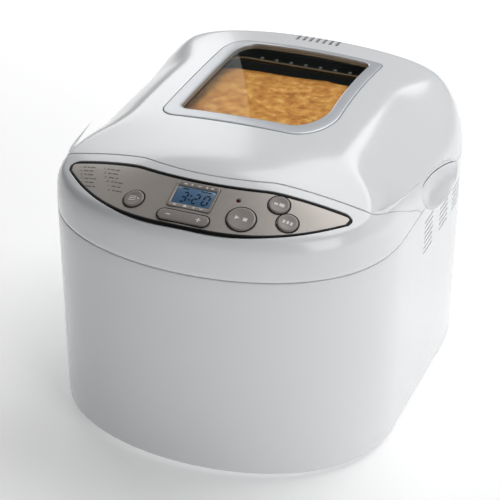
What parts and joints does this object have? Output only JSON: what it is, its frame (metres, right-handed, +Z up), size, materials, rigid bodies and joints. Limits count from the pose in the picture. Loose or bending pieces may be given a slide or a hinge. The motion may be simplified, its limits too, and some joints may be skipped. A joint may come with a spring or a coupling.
{
  "type": "bread machine",
  "caption": "Household bread machine with a bowed housing, sloping control panel, hinged windowed lid, twist-lock baking pan, kneading paddle and belt drive.",
  "frame": {"origin": "under the middle of the machine, at the level of its feet", "axes": "+Z up, the control panel faces -Y, +X is to the right of a person facing the panel"},
  "size_m": [0.302, 0.348, 0.2627],
  "materials": {
    "white_shell": "gloss moulded",
    "black_rubber": "matt moulded",
    "black_plastic": "fine texture",
    "panel_lacquer": "satin lacquer",
    "display_glass": "polished",
    "button_grey": "satin",
    "circuit_board": "solder mask",
    "steel": "brushed",
    "probe_cap": "drawn",
    "motor_iron": "satin paint",
    "capacitor_can": "drawn",
    "window_trim": "silver lacquer",
    "clear_glass": "polished",
    "nonstick": "non-stick coating",
    "cast_alloy": "die cast",
    "bronze": "turned"
  },
  "bodies": {
    "base": {"main_housing": "white_shell", "base_plate": "white_shell", "foot_front_left": "black_rubber", "foot_front_right": "black_rubber", "foot_rear_left": "black_rubber", "foot_rear_right": "black_rubber", "cord_gland": "black_rubber", "front_cover": "white_shell", "panel_border": "black_plastic", "control_fascia": "panel_lacquer", "display_bezel": "panel_lacquer", "display_screen": "display_glass", "indicator_lamp": "black_plastic", "control_board": "circuit_board", "hinge_bracket_left": "steel", "hinge_bracket_right": "steel", "hinge_pin_left": "steel", "hinge_pin_right": "steel", "oven_chamber": "steel", "heating_element": "steel", "element_clip_left": "steel", "element_clip_right": "steel", "temperature_sensor": "probe_cap", "pan_seat": "steel", "bearing_bridge": "steel", "drive_belt": "black_rubber", "motor_body": "motor_iron", "motor_bracket": "steel", "power_board": "circuit_board", "motor_capacitor": "capacitor_can"},
    "lid": {"lid_shell": "white_shell", "window_frame": "window_trim", "window_glass": "clear_glass", "lid_liner": "nonstick", "inner_glass": "clear_glass", "lid_gasket": "black_rubber"},
    "pan": {"baking_pan": "nonstick", "pan_foot_ring": "cast_alloy", "shaft_bush": "bronze", "handle_lug_left": "cast_alloy", "handle_lug_right": "cast_alloy"},
    "handle": {"pan_handle": "steel"},
    "paddle": {"paddle_shaft": "steel", "upper_coupling": "steel", "shaft_circlip": "steel", "kneading_paddle": "nonstick"},
    "drive": {"drive_shaft": "steel", "drive_pulley": "black_plastic", "lower_coupling": "black_plastic"},
    "rotor": {"motor_shaft": "steel", "motor_armature": "motor_iron", "motor_pulley": "black_plastic"},
    "menu_button": {"menu_button": "button_grey"},
    "start_stop_button": {"start_stop_button": "button_grey"},
    "loaf_size_button": {"loaf_size_button": "button_grey"},
    "crust_button": {"crust_button": "button_grey"},
    "timer_rocker": {"timer_rocker": "button_grey"}
  },
  "joints": [
    {"name": "lid_hinge", "type": "hinge", "parent": "base", "child": "lid", "pos_m": [0, 0.1693, 0.1985], "axis": [-1, 0, 0], "range_deg": [0, 80]},
    {"name": "pan_twist", "type": "hinge", "parent": "base", "child": "pan", "pos_m": [0, 0.045, 0.07], "axis": [0, 0, 1], "range_deg": [0, 12]},
    {"name": "handle_swing", "type": "hinge", "parent": "pan", "child": "handle", "pos_m": [0, 0.045, 0.165], "axis": [1, 0, 0], "range_deg": [0, 164]},
    {"name": "drive_spin", "type": "hinge", "parent": "base", "child": "drive", "pos_m": [0, 0.045, 0.04], "axis": [0, 0, 1], "continuous": true},
    {"name": "motor_spin", "type": "hinge", "parent": "base", "child": "rotor", "pos_m": [0.062, -0.103, 0.04], "axis": [0, 0, 1], "continuous": true},
    {"name": "paddle_spin", "type": "hinge", "parent": "pan", "child": "paddle", "pos_m": [0, 0.045, 0.08], "axis": [0, 0, 1], "continuous": true},
    {"name": "menu_press", "type": "slide", "parent": "base", "child": "menu_button", "axis": [0.123, 0.3513, -0.9281], "range_m": [0, 0.0008], "stiffness_N_per_m": 600},
    {"name": "start_stop_press", "type": "slide", "parent": "base", "child": "start_stop_button", "axis": [-0.1146, 0.3517, -0.9291], "range_m": [0, 0.0008], "stiffness_N_per_m": 600},
    {"name": "loaf_size_press", "type": "slide", "parent": "base", "child": "loaf_size_button", "axis": [-0.1723, 0.3391, -0.9249], "range_m": [0, 0.0008], "stiffness_N_per_m": 600},
    {"name": "crust_press", "type": "slide", "parent": "base", "child": "crust_button", "axis": [-0.2011, 0.3454, -0.9166], "range_m": [0, 0.0008], "stiffness_N_per_m": 600},
    {"name": "timer_rock", "type": "hinge", "parent": "base", "child": "timer_rocker", "pos_m": [0, -0.15738, 0.23202], "axis": [0, 0.9351, 0.3543], "range_deg": [-2.5, 2.5], "stiffness_Nm_per_rad": 0.12}
  ],
  "couplings": [
    {"joint": "drive_spin", "follows": "motor_spin", "ratio": 0.3},
    {"joint": "paddle_spin", "follows": "motor_spin", "ratio": 0.3}
  ]
}
